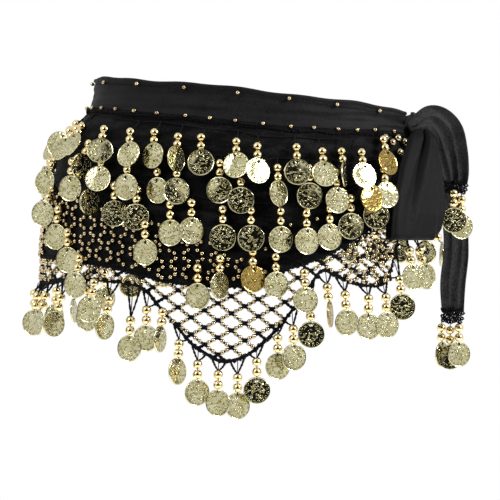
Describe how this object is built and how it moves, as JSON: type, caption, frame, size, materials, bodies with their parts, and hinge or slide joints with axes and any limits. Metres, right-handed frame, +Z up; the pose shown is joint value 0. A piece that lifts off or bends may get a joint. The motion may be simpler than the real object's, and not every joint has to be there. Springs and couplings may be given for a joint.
{
  "type": "coin hip scarf",
  "caption": "Velvet hip scarf with a tied waistband, a crocheted net edge and rows of beaded coin drops, in its worn form with an open waist.",
  "frame": {"origin": "middle of the waist, level with the band's upper part, where the wearer's waist holds the scarf", "axes": "+Z up along the wearer, +X to the wearer's left, -Y to the front"},
  "size_m": [0.4191, 0.3151, 0.3138],
  "materials": {
    "crepe": "plain black crepe with a soft sheen",
    "velvet": "short black velvet pile",
    "cord": "black crochet cord",
    "gold": "pale gold plate, bright and lightly struck"
  },
  "bodies": {
    "root": {"waistband": "crepe", "knot": "crepe", "tie_loop": "crepe", "tie_short_end": "crepe", "tie_long_end": "crepe", "velvet_panel": "velvet", "net_front": "cord", "net_back": "cord", "coins_row_1": "gold", "coins_row_2": "gold", "coins_row_3": "gold", "coins_row_4": "gold", "coins_diagonal": "gold", "coins_net_edge": "gold", "coins_short_end": "gold", "coins_long_end": "gold"}
  },
  "joints": []
}
